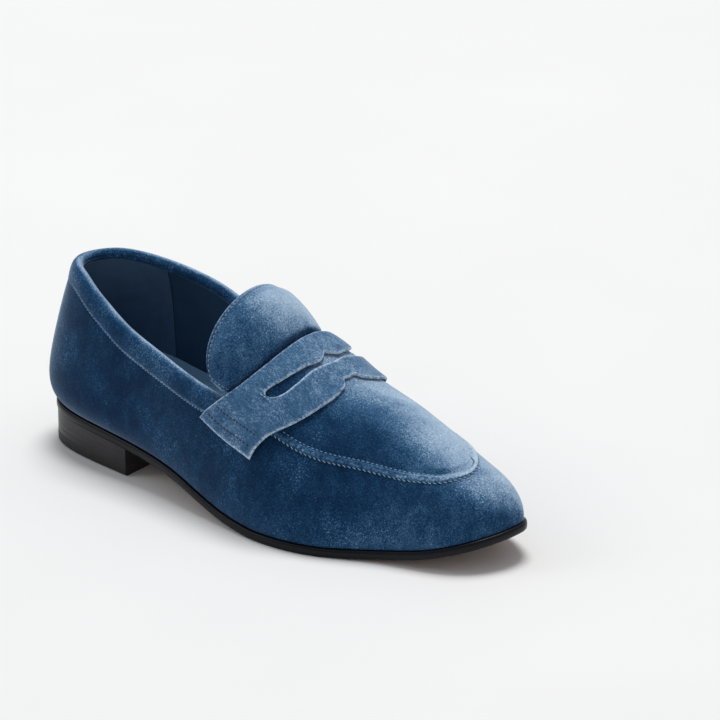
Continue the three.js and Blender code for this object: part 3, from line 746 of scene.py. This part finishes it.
def make_strap():
    slot = STRAP["slot"]
    rounding = slot - SLOT_END * (1 - np.sin(np.linspace(0, math.pi / 2, 12)[1:]))
    half = np.concatenate([np.linspace(0, slot - SLOT_END, 46), rounding,
                           np.linspace(slot, 1, 36)[1:]])
    reach = np.concatenate([-half[:0:-1], half])
    r = np.abs(reach)
    rear = curve(STRAP_REAR, r)
    front = curve(STRAP_FRONT, r) - NOTCH["depth"] * notch(r)
    slot_rear = curve(SLOT_REAR, r) - np.maximum(0, r - slot) * 50
    slot_front = curve(SLOT_FRONT, r) - np.maximum(0, r - slot) * 28
    middle = (slot_rear + slot_front) / 2
    end = np.clip((r - (slot - SLOT_END)) / SLOT_END, 0, 1)
    opening = np.where(r < slot, (slot_front - slot_rear) / 2 * np.sqrt(1 - end**2), 0)
    edges = np.array(STRAP_EDGES)

    def band(low, high):
        width = (high - low)[:, None]
        inner = low[:, None] + edges[-1] + (width - 2 * edges[-1]) * np.linspace(0, 1, 9)[1:-1]
        near = low[:, None] + edges * np.minimum(1, width / 4)
        far = high[:, None] - edges[::-1] * np.minimum(1, width / 4)
        return np.concatenate([near, inner, far], 1)

    first = band(rear, middle - opening)
    second = band(middle + opening, front)
    x = np.concatenate([first, second], 1)
    gap = np.concatenate([np.minimum(first - first[:, :1], first[:, -1:] - first),
                          np.minimum(second - second[:, :1], second[:, -1:] - second)], 1)
    whole = np.minimum(x - x[:, :1], x[:, -1:] - x)
    gap = np.where((r >= slot)[:, None], whole, gap)
    gap = np.minimum(gap, (1 - r)[:, None] * STRAP_END_SCALE)
    rounded = STRAP_ROUND["drop"] * (1 - np.clip(gap / STRAP_ROUND["width"], 0, 1)) ** 2
    lift = strap_lift(r)[:, None]
    outer = strap_point(reach[:, None], x, lift + STRAP["thickness"] - rounded)
    inner = strap_point(reach[:, None], x, lift + 0 * x)
    count = first.shape[1]
    keep = np.ones((len(reach) - 1, x.shape[1] - 1), bool)
    between = np.abs((reach[:-1] + reach[1:]) / 2) < slot
    keep[between, count - 1] = False
    wear = peak(gap, 0.7) * 1.1
    piece = sheet("strap_velvet", outer, inner, STRAP_VELVET, keep=keep, wear=wear)
    return give(piece, "shoe", "velvet", "penny_strap")


# ---------- Collar ----------
# The roll's section: (distance outside the last, height from the topline).
ROLL = [(0.1, -12.6), (1.2, -11.4), (2.0, -8.6), (2.3, -5.2), (1.5, -2.0), (-0.4, -0.1), (-2.2, 0.4),
        (-4.2, -0.3), (-5.3, -1.9), (-5.4, -3.8), (-4.7, -5.2), (-3.4, -6.4), (-2.2, -9.4),
        (-1.0, -11.4)]


def closed_curve(points, count):
    """Smooth closed curve through points (Catmull-Rom)."""
    p = np.asarray(points, float)
    t = np.linspace(0, len(p), count, endpoint=False)
    i = t.astype(int)
    t = (t - i)[:, None]
    a, b, c, d = (p[(i + k) % len(p)] for k in (-1, 0, 1, 2))
    return 0.5 * (2 * b + (c - a) * t + (2 * a - 5 * b + 4 * c - d) * t**2
                  + (3 * b - a - 3 * c + d) * t**3)


def make_collar():
    side, q = round_heel(COLLAR_END + COLLAR_PAST, 150)
    section = closed_curve(ROLL, 44)
    x = along_of(q)
    fold = curve(BAND, x) / 12
    height = section[:, 1][None, :]
    drop = height * np.where(height < -2, fold[:, None], 1)
    level = level_at(side[:, None], q[:, None], top_height(side, x)[:, None] + drop)
    shrink = 1 - COLLAR_TAPER * smooth(COLLAR_END - 12, COLLAR_END + COLLAR_PAST, x)[:, None]
    flush = 1 - COLLAR_FLUSH * (1 - smooth(*COLLAR_FLUSH_FROM, x))[:, None]
    offset = section[:, 0][None, :]
    offset = np.where(offset > 0, offset * flush, offset) * shrink
    rings = skin(side[:, None], q[:, None], level, offset)
    seam_wear = peak(height + 12.2, 0.8) * 0.7
    piece = loft("collar_roll", rings, COLLAR_VELVET, wear=seam_wear + 0 * level)
    give(piece, "shoe", "velvet", "topline_collar", "collar_foam")
    return piece


# ---------- Linings, stiffeners and footbed ----------
def layer(name, side, q, top, outside, thickness, material, slot, node):
    """One layer inside the velvet, from just above the feather line up to the top level."""
    bottom = level_at(side, q, feather(along_of(q)) + LAYER_FOOT)
    v = rows_between(bottom, top, 30)
    faces = two_faces(side, q, v, -outside, -outside - thickness)
    return give(sheet(name, *faces, material), "shoe", slot, node)


def lining_top(side, q):
    return level_at(side, q, top_height(side, along_of(q)) - LINING_DROP)


def make_linings():
    side, q = round_heel(GRIP_SEAM, 60)
    layer("grip_lining", side, q, lining_top(side, q), LINING_FACE, LINING + 0.4, GRIP_LEATHER,
          "lining", "heel_grip_lining")
    for name, way in (("lateral", -1), ("medial", 1)):
        q = stations(GRIP_SEAM + GAP, APRON_REAR - 2 * GAP, 60)
        side = np.full(len(q), float(way))
        layer(f"quarter_lining_{name}_leather", side, q, lining_top(side, q), LINING_FACE, LINING,
              LINING_LEATHER, "lining", f"quarter_lining_{name}")
    side, q = round_toe(APRON_REAR, 60)
    layer("forepart_lining", side, q, np.ones(len(q)), LINING_FACE, LINING, LINING_LEATHER,
          "lining", "vamp_lining")


def make_stiffeners():
    face = UPPER + LAYER_GAP
    side, q = round_heel(COUNTER_FRONT, 60)
    top = level_at(side, q, feather(along_of(q)) + COUNTER_HEIGHT)
    layer("counter", side, q, top, face, STIFFENER, BOARD, "stiffener", "heel_counter")
    side, q = round_toe(PUFF_REAR, 50)
    layer("puff", side, q, np.ones(len(q)), face, STIFFENER, BOARD, "stiffener", "toe_puff")


def make_footbed():
    """The sock liner, cupped up against the linings and higher along the arch."""
    q = stations(FOOTBED["start"], LENGTH - FOOTBED["stop"], 110)
    x = along_of(q)
    pad = FOOTBED["heel_pad"] * (1 - smooth(72, 84, x))
    base = feather(x) + FOOTBED["under"] + pad + FOOTBED["lift"]
    w = np.linspace(-1, 1, 33)
    margin = -(LINING_FACE + LINING + FOOTBED["gap"])
    ends = []
    for side in (-1.0, 1.0):
        sides = np.full(len(q), side)
        level = level_at(sides, q, base + by_side(FOOTBED_RISE, sides, x))
        ends.append(skin(sides, q, level, 0 * q + margin)[:, None, :])
    lateral, medial = ends
    part = ((w + 1) / 2)[None, :, None]
    top = lateral * (1 - part) + medial * part
    edge = np.where(w[None, :] < 0, lateral[..., 2], medial[..., 2]) - base[:, None]
    top[..., 2] = base[:, None] + edge * np.abs(w)[None, :] ** FOOTBED["cup"]
    under = top.copy()
    under[..., 2] -= FOOTBED["thickness"]
    piece = sheet("footbed", top, under, FOOTBED_LEATHER)
    return give(piece, "shoe", "footbed", "sock_liner")


# ---------- Tongue ----------
def tongue_surface(s, w):
    """Middle of the pad: s runs from the root under the strap to the tip, w from side to side."""
    s, w = np.broadcast_arrays(s, w)
    phi = math.radians(TONGUE["turn"]) * w
    free = np.stack([TONGUE["tip"] - 4 * np.sin(phi) ** 2 + 6 * w**6,
                     TONGUE["half_width"] * np.sin(phi) - TONGUE_ROOT["sideways"],
                     TONGUE["top"] - TONGUE["fall"] * (1 - np.cos(phi))], -1)
    root = TONGUE_ROOT["width"] * w
    base = strap_point(root, curve(STRAP_REAR, np.abs(root)) - TONGUE_ROOT["back"],
                       0 * root - TONGUE_ROOT["sink"])
    bulge = TONGUE_CROWN["side"] - TONGUE_CROWN["loss"] * smooth(-0.1, 0.6, w)
    crown = (4 * s * (1 - s) * bulge)[..., None]
    swell = np.stack([0.4 + 0 * phi, 0.35 * np.sin(phi), 0.9 * np.cos(phi)], -1) * crown
    return base + (free - base) * s[..., None] + swell


def tongue_normal(s, w):
    step = 1e-3
    row = np.clip(s, 0.15, 0.85)
    col = np.clip(w, -0.75, 0.75)
    along_s = tongue_surface(row + step, col) - tongue_surface(row - step, col)
    along_w = tongue_surface(row, col + step) - tongue_surface(row, col - step)
    normal = unit(np.cross(along_w, along_s))
    wrong = normal[..., 2] * np.cos(w) + normal[..., 1] * np.sin(w) < 0
    return np.where(wrong[..., None], -normal, normal)


def tongue_point(s, w, distance):
    s, w, distance = np.broadcast_arrays(s, w, distance)
    return tongue_surface(s, w) + tongue_normal(s, w) * distance[..., None]


def tongue_rim(s, w):
    """Distance in from the free edge, in millimetres; the root under the strap has no edge."""
    s, w = np.broadcast_arrays(s, w)
    return np.minimum((1 - s) * TONGUE_SPAN["up"], (1 - np.abs(w)) * TONGUE_SPAN["across"])


def make_tongue():
    s = np.concatenate([np.linspace(-0.16, 0.85, 46), 1 - 0.15 * np.linspace(1, 0, 26)[1:] ** 1.6])
    half = 1 - np.linspace(1, 0, 52) ** 1.5
    w = np.concatenate([-half[:0:-1], half])
    grid_s, grid_w = np.meshgrid(s, w, indexing="ij")
    rim = tongue_rim(grid_s, grid_w)
    half_edge = TONGUE_EDGE["half"]
    edge = half_edge * quarter_round(rim / TONGUE_EDGE["round"])
    groove_at = TONGUE_EDGE["groove_at"]
    groove = TONGUE_EDGE["groove"] * peak(rim - groove_at, TONGUE_EDGE["groove_width"])
    plump = TONGUE["pad"] * 0.5 * smooth(groove_at, TONGUE_EDGE["plump_at"], rim)
    root = smooth(*ROOT_RISE, grid_s)
    top_plump = plump * TONGUE_EDGE["top_part"]
    upper = (-half_edge + edge - groove + top_plump) * root - half_edge * (1 - root)
    lower = (-half_edge - edge - plump) * root - 2 * half_edge * (1 - root)
    top = tongue_point(grid_s, grid_w, upper)
    bottom = tongue_point(grid_s, grid_w, lower)
    wear = peak(rim - 0.4, 0.9) * 0.5
    pad = sheet("tongue_pad", top, bottom, TONGUE_VELVET, wear=wear, crease=80)
    under_top = tongue_point(grid_s, grid_w, lower - TONGUE_LINING["gap"])
    under_low = tongue_point(grid_s, grid_w, lower - TONGUE_LINING["face"])
    far_in = rim > half_edge
    inside = far_in[:-1, :-1] & far_in[1:, 1:] & (grid_s[:-1, :-1] > 0.03)
    under = sheet("tongue_underside", under_top, under_low, LINING_LEATHER, keep=inside)
    return pad, under


def hinge_blend(piece):
    """Bakes the piece's placement into its mesh."""
    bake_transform(piece)


# ---------- Stitches ----------
def stitches(name, path, normals, pitch, length, radius, body="shoe", skew=0.0, thread=THREAD):
    """A row of short threads along a path, each with its ends sunk into the cloth."""
    run = np.linalg.norm(np.diff(path, axis=0), axis=1)
    total = np.concatenate([[0], np.cumsum(run)])
    count = int(total[-1] / pitch)

    def at(values, where):
        return np.stack([np.interp(where, total, values[:, k]) for k in range(3)], -1)

    rings, sides = 7, 6
    along = np.linspace(-0.5, 0.5, rings)
    swell = np.sqrt(np.clip(1 - (2 * along) ** 4, 0, 1)) * 0.85 + 0.15
    turn = np.linspace(0, 2 * math.pi, sides, endpoint=False)
    points, faces = [], []
    for n in range(count):
        centre = (n + 0.5) * pitch
        where = centre + along * length
        line = at(path, where)
        up = unit(at(normals, where))
        forward = unit(np.gradient(line, axis=0))
        across = unit(np.cross(forward, up))
        line = line + across * (along * skew)[:, None]
        line = line + up * (radius * (1.1 * swell - 0.75))[:, None]
        first = len(points) * sides * rings
        reach = radius * swell[:, None, None]
        ring = (line[:, None, :] + across[:, None, :] * (np.cos(turn)[None, :, None] * reach)
                + up[:, None, :] * (np.sin(turn)[None, :, None] * reach * 0.8))
        points.append(ring.reshape(-1, 3))
        for i in range(rings - 1):
            for k in range(sides):
                m = (k + 1) % sides
                faces.append([first + i * sides + k, first + i * sides + m,
                              first + (i + 1) * sides + m, first + (i + 1) * sides + k])
        faces.append([first + k for k in range(sides)])
        faces.append([first + (rings - 1) * sides + k for k in range(sides)])
    piece = finish_mesh(name, np.concatenate(points), faces, thread, crease=180)
    if body:
        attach(piece, body)
    return piece


def make_apron_stitches():
    side, q = round_toe(APRON_REAR + 4, 260)
    for name, inward, height, pitch, length, radius, skew in (
            ("apron_inner_stitches", SEAM_BAND + 0.1, 0.55, 2.5, 1.9, 0.2, 0.0),
            ("apron_edge_stitches", -0.15, 0.35, 2.7, 2.1, 0.34, 0.9)):
        v = apron_grid(side, q, np.array([inward]))[:, 0]
        path = skin(side, q, v, 0 * q + height)
        normals = skin_normal(side, q, v)
        stitches(name, path, normals, pitch, length, radius, skew=skew)


def across_strap(name, sign, r, rear, front, count, pitch, length, radius, thread=THREAD):
    """A row of stitches across the strap at one reach r."""
    x = np.linspace(rear, front, count)
    reach = np.full(count, sign * r)
    lift = float(strap_lift(r)) + STRAP["thickness"]
    path = strap_point(reach, x, lift + 0 * x)
    above = strap_point(reach, x, lift + 1 + 0 * x)
    stitches(name, path, unit(above - path), pitch, length, radius, thread=thread)


def make_strap_stitches():
    """Two rows of stitching across each end of the strap, in thread darkened as painted shade."""
    for end, sign in (("lateral", -1), ("medial", 1)):
        for row, back in (("outer", 4.0), ("inner", 8.2)):
            r = 1 - back / STRAP_RUN[end]
            rear = float(curve(STRAP_REAR, r)) + STITCH_MARGIN
            front = float(curve(STRAP_FRONT, r)) - STITCH_MARGIN
            across_strap(f"strap_{end}_{row}_stitches", sign, r, rear, front, 80, 2.5, 1.8, 0.38,
                         PAINTED_SHADE_THREAD)


def make_slot_tacks():
    """A short pale bar tack closes each end of the slot."""
    for end, sign in (("lateral", -1), ("medial", 1)):
        r = STRAP["slot"] + TACK_BEYOND
        rear = float(curve(SLOT_REAR, r)) - TACK_PAST
        front = float(curve(SLOT_FRONT, r)) + TACK_PAST
        across_strap(f"slot_{end}_tack", sign, r, rear, front, 20, 2.2, 2.0, 0.36)


def make_tongue_stitches():
    w = np.concatenate([np.full(60, -STITCH_AT), np.linspace(-STITCH_AT, STITCH_AT, 200),
                        np.full(60, STITCH_AT)])
    s = np.concatenate([np.linspace(0.1, STITCH_UP, 60), np.full(200, STITCH_UP),
                        np.linspace(STITCH_UP, 0.1, 60)])
    path = tongue_point(s, w, 0 * s - 0.45)
    piece = stitches("tongue_edge_stitches", path, tongue_normal(s, w), 2.6, 1.9, 0.27, body=None)
    hinge_blend(piece)


def make_collar_stitches():
    """The fine welt line where the folded collar band meets the quarters."""
    side, q = round_heel(COLLAR_END, 300)
    x = along_of(q)
    v = level_at(side, q, top_height(side, x) - curve(BAND, x) - 0.9)
    path = skin(side, q, v, 0 * q + 0.15)
    stitches("collar_seam_stitches", path, skin_normal(side, q, v), 2.2, 1.7, 0.22)


# ---------- Sole and heel ----------
def plate(name, start, end, profile, bottom, top, material, count):
    """A flat-across plate; profile is (inset, part of the height, extra height) round one edge."""
    q = stations(start, end, count)
    x = along_of(q)
    columns = []
    for side, points in ((-1, profile), (1, profile[::-1])):
        sides = np.full(len(q), float(side))
        for distance, part, extra in points:
            px, py = inset(q, sides, distance)
            columns.append(np.stack([px, py, bottom(x) + (top(x) - bottom(x)) * part + extra], -1))
    return loft(name, np.stack(columns, 1), material, crease=38)


def sole_bottom(x):
    return np.maximum(0, curve(FEATHER, x) - SOLE_EDGE)


def level_plane(z):
    return lambda x: z + 0 * x


def make_sole():
    edge = [(2.2, 1, 0), (0.9, 1, 0), (0.45, 1, -0.25), (0.5, 1, -0.55), (0.15, 1, -0.95),
            (0, 0.6, 0), (0, 0.35, 0), (0.15, 0, 0.7), (0.6, 0, 0.15), (1.3, 0, 0)]
    piece = plate("sole", 0, LENGTH, edge, sole_bottom, feather, EDGE_LEATHER, 240)
    piece.data.materials.append(TREAD_LEATHER)
    for face in piece.data.polygons:
        if face.normal.z < -0.9:
            face.material_index = 1
    give(piece, "shoe", "sole_leather", "outsole")


def make_heel():
    """Three leather lifts with fine lines between them, over a rubber top lift."""
    def wedge_top(x):
        return sole_bottom(x) - 0.04

    def floor_of(n):
        return TOP_LIFT + GAP + (LIFT + GAP) * n

    side_wall = [(3, 1, 0), (0.66, 1, 0), (0.6, 1, -0.06), (0.6, 0, 0.06), (0.66, 0, 0), (3, 0, 0)]
    seam = 0.05
    stack = [("heel_wedge", floor_of(2) - GAP + seam, wedge_top, "heel_lift_wedge"),
             ("heel_middle", floor_of(1) - GAP + seam, level_plane(floor_of(2) - GAP),
              "heel_lift_middle"),
             ("heel_lower", floor_of(0) - GAP + seam, level_plane(floor_of(1) - GAP),
              "heel_lift_lower")]
    for name, bottom, top, node in stack:
        piece = plate(name, 0, HEEL_BREAST, side_wall, level_plane(bottom), top, HEEL_LEATHER, 110)
        give(piece, "shoe", "heel_leather", node)
    rim = [(3, 1, 0), (0.7, 1, 0), (0.5, 1, -0.2), (0.5, 0, 0.9), (0.8, 0, 0.35), (1.4, 0, 0),
           (3, 0, 0)]
    piece = plate("heel_top_lift", 0, HEEL_BREAST, rim, level_plane(0.12), level_plane(TOP_LIFT),
                  RUBBER, 110)
    give(piece, "shoe", "rubber", "top_lift")


def make_nails():
    """Round-headed nails, flush with the rubber under the heel."""
    turn = np.linspace(0, 2 * math.pi, 20, endpoint=False)
    outline_of = [(0.9, 0.02), (1.25, 0.10), (1.3, 0.35), (0.8, 0.6), (0.8, NAIL_TOP)]
    for n, (x, y) in enumerate(NAILS):
        rings = np.array([[(x + r * math.cos(a), y + r * math.sin(a), z) for a in turn]
                          for r, z in outline_of])
        give(loft(f"nail_{n + 1}", rings, STEEL), "shoe", "steel", f"heel_nail_{n + 1}")


# ---------- The whole shoe ----------
make_wrap()
make_apron()
make_strap()
make_collar()
make_linings()
make_stiffeners()
make_footbed()
make_sole()
make_heel()
make_nails()
tongue_pad, tongue_under = make_tongue()
for part, slot_name, covered in ((tongue_pad, "velvet", ("tongue_cover", "tongue_foam")),
                                 (tongue_under, "lining", ("tongue_lining",))):
    hinge_blend(part)
    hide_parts(*covered)
make_apron_stitches()
make_strap_stitches()
make_slot_tacks()
make_tongue_stitches()
make_collar_stitches()

# Inner pieces that keep their own shape take a finish too.
for node_name, inner_finish in (("heel_pad", FOAM), ("insole_board", BOARD), ("cork_filler", CORK),
                                ("shank", STEEL)):
    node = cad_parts[node_name]
    node.data.materials.clear()
    node.data.materials.append(inner_finish)


# ---------- Floor, light and camera ----------
FLOOR_HALF = 20  # metres
WORLD_STRENGTH = 0.4
# Name, place, width and power of each lamp, then its colour.
LIGHTS = [("key", (-0.5, 1.0, 5.2), 2.4, 190, (1.0, 0.99, 0.975)),
          ("fill", (-3.6, -2.7, 3.0), 2.5, 34, (0.95, 0.97, 1.0))]


def make_floor():
    corners = [(a * FLOOR_HALF, b * FLOOR_HALF, 0) for a, b in ((-1, -1), (1, -1), (1, 1), (-1, 1))]
    mesh = bpy.data.meshes.new("floor")
    mesh.from_pydata(corners, [], [(0, 1, 2, 3)])
    f = Finish("pale_floor", roughness=0.6, Specular_IOR_Level=0.2)
    f.colour(f.ramp(f.noise(6, detail=2), 0.3, 0.7, (0.86, 0.86, 0.86), (0.88, 0.88, 0.88)))
    mesh.materials.append(f.material)
    floor = bpy.data.objects.new("floor", mesh)
    bpy.context.scene.collection.objects.link(floor)


def make_light(name, place_at, size, power, colour):
    """A round lamp that points at the middle of the floor."""
    lamp = bpy.data.lights.new(name, "AREA")
    lamp.shape = "DISK"
    lamp.size = size
    lamp.energy = power
    lamp.color = colour
    obj = bpy.data.objects.new(name, lamp)
    obj.location = place_at
    obj.rotation_euler = (-Vector(place_at)).to_track_quat("-Z", "Y").to_euler()
    bpy.context.scene.collection.objects.link(obj)


def make_world(strength):
    world = bpy.data.worlds.new("studio")
    world.use_nodes = True
    background = world.node_tree.nodes["Background"]
    background.inputs["Color"].default_value = (0.95, 0.97, 1.0, 1)
    background.inputs["Strength"].default_value = strength
    bpy.context.scene.world = world


AZIMUTH = math.radians(39)
ELEVATION = math.radians(23.5)
DISTANCE = 2.331
LENS = 221
SENSOR = 36
AIM_HEIGHT = 40  # height on the shoe that the camera turns about, in millimetres
AIM_RIGHT = 0.0425  # the picture's middle from there, in metres
AIM_UP = 0.034


def make_camera():
    right = Vector((math.cos(AZIMUTH), math.sin(AZIMUTH), 0))
    up = Vector((-math.sin(AZIMUTH) * math.sin(ELEVATION), math.cos(AZIMUTH) * math.sin(ELEVATION),
                 math.cos(ELEVATION)))
    back = right.cross(up)
    middle = Vector(place([LENGTH / 2, 0, AIM_HEIGHT]))
    target = middle + right * AIM_RIGHT + up * AIM_UP
    data = bpy.data.cameras.new("camera")
    data.lens = LENS
    data.sensor_width = SENSOR
    camera = bpy.data.objects.new("camera", data)
    camera.location = middle + back * DISTANCE
    camera.rotation_euler = (camera.location - target).to_track_quat("Z", "Y").to_euler()
    bpy.context.scene.collection.objects.link(camera)
    bpy.context.scene.camera = camera


make_floor()
make_world(WORLD_STRENGTH)
for light in LIGHTS:
    make_light(*light)
bpy.context.scene.view_settings.view_transform = "Standard"
make_camera()
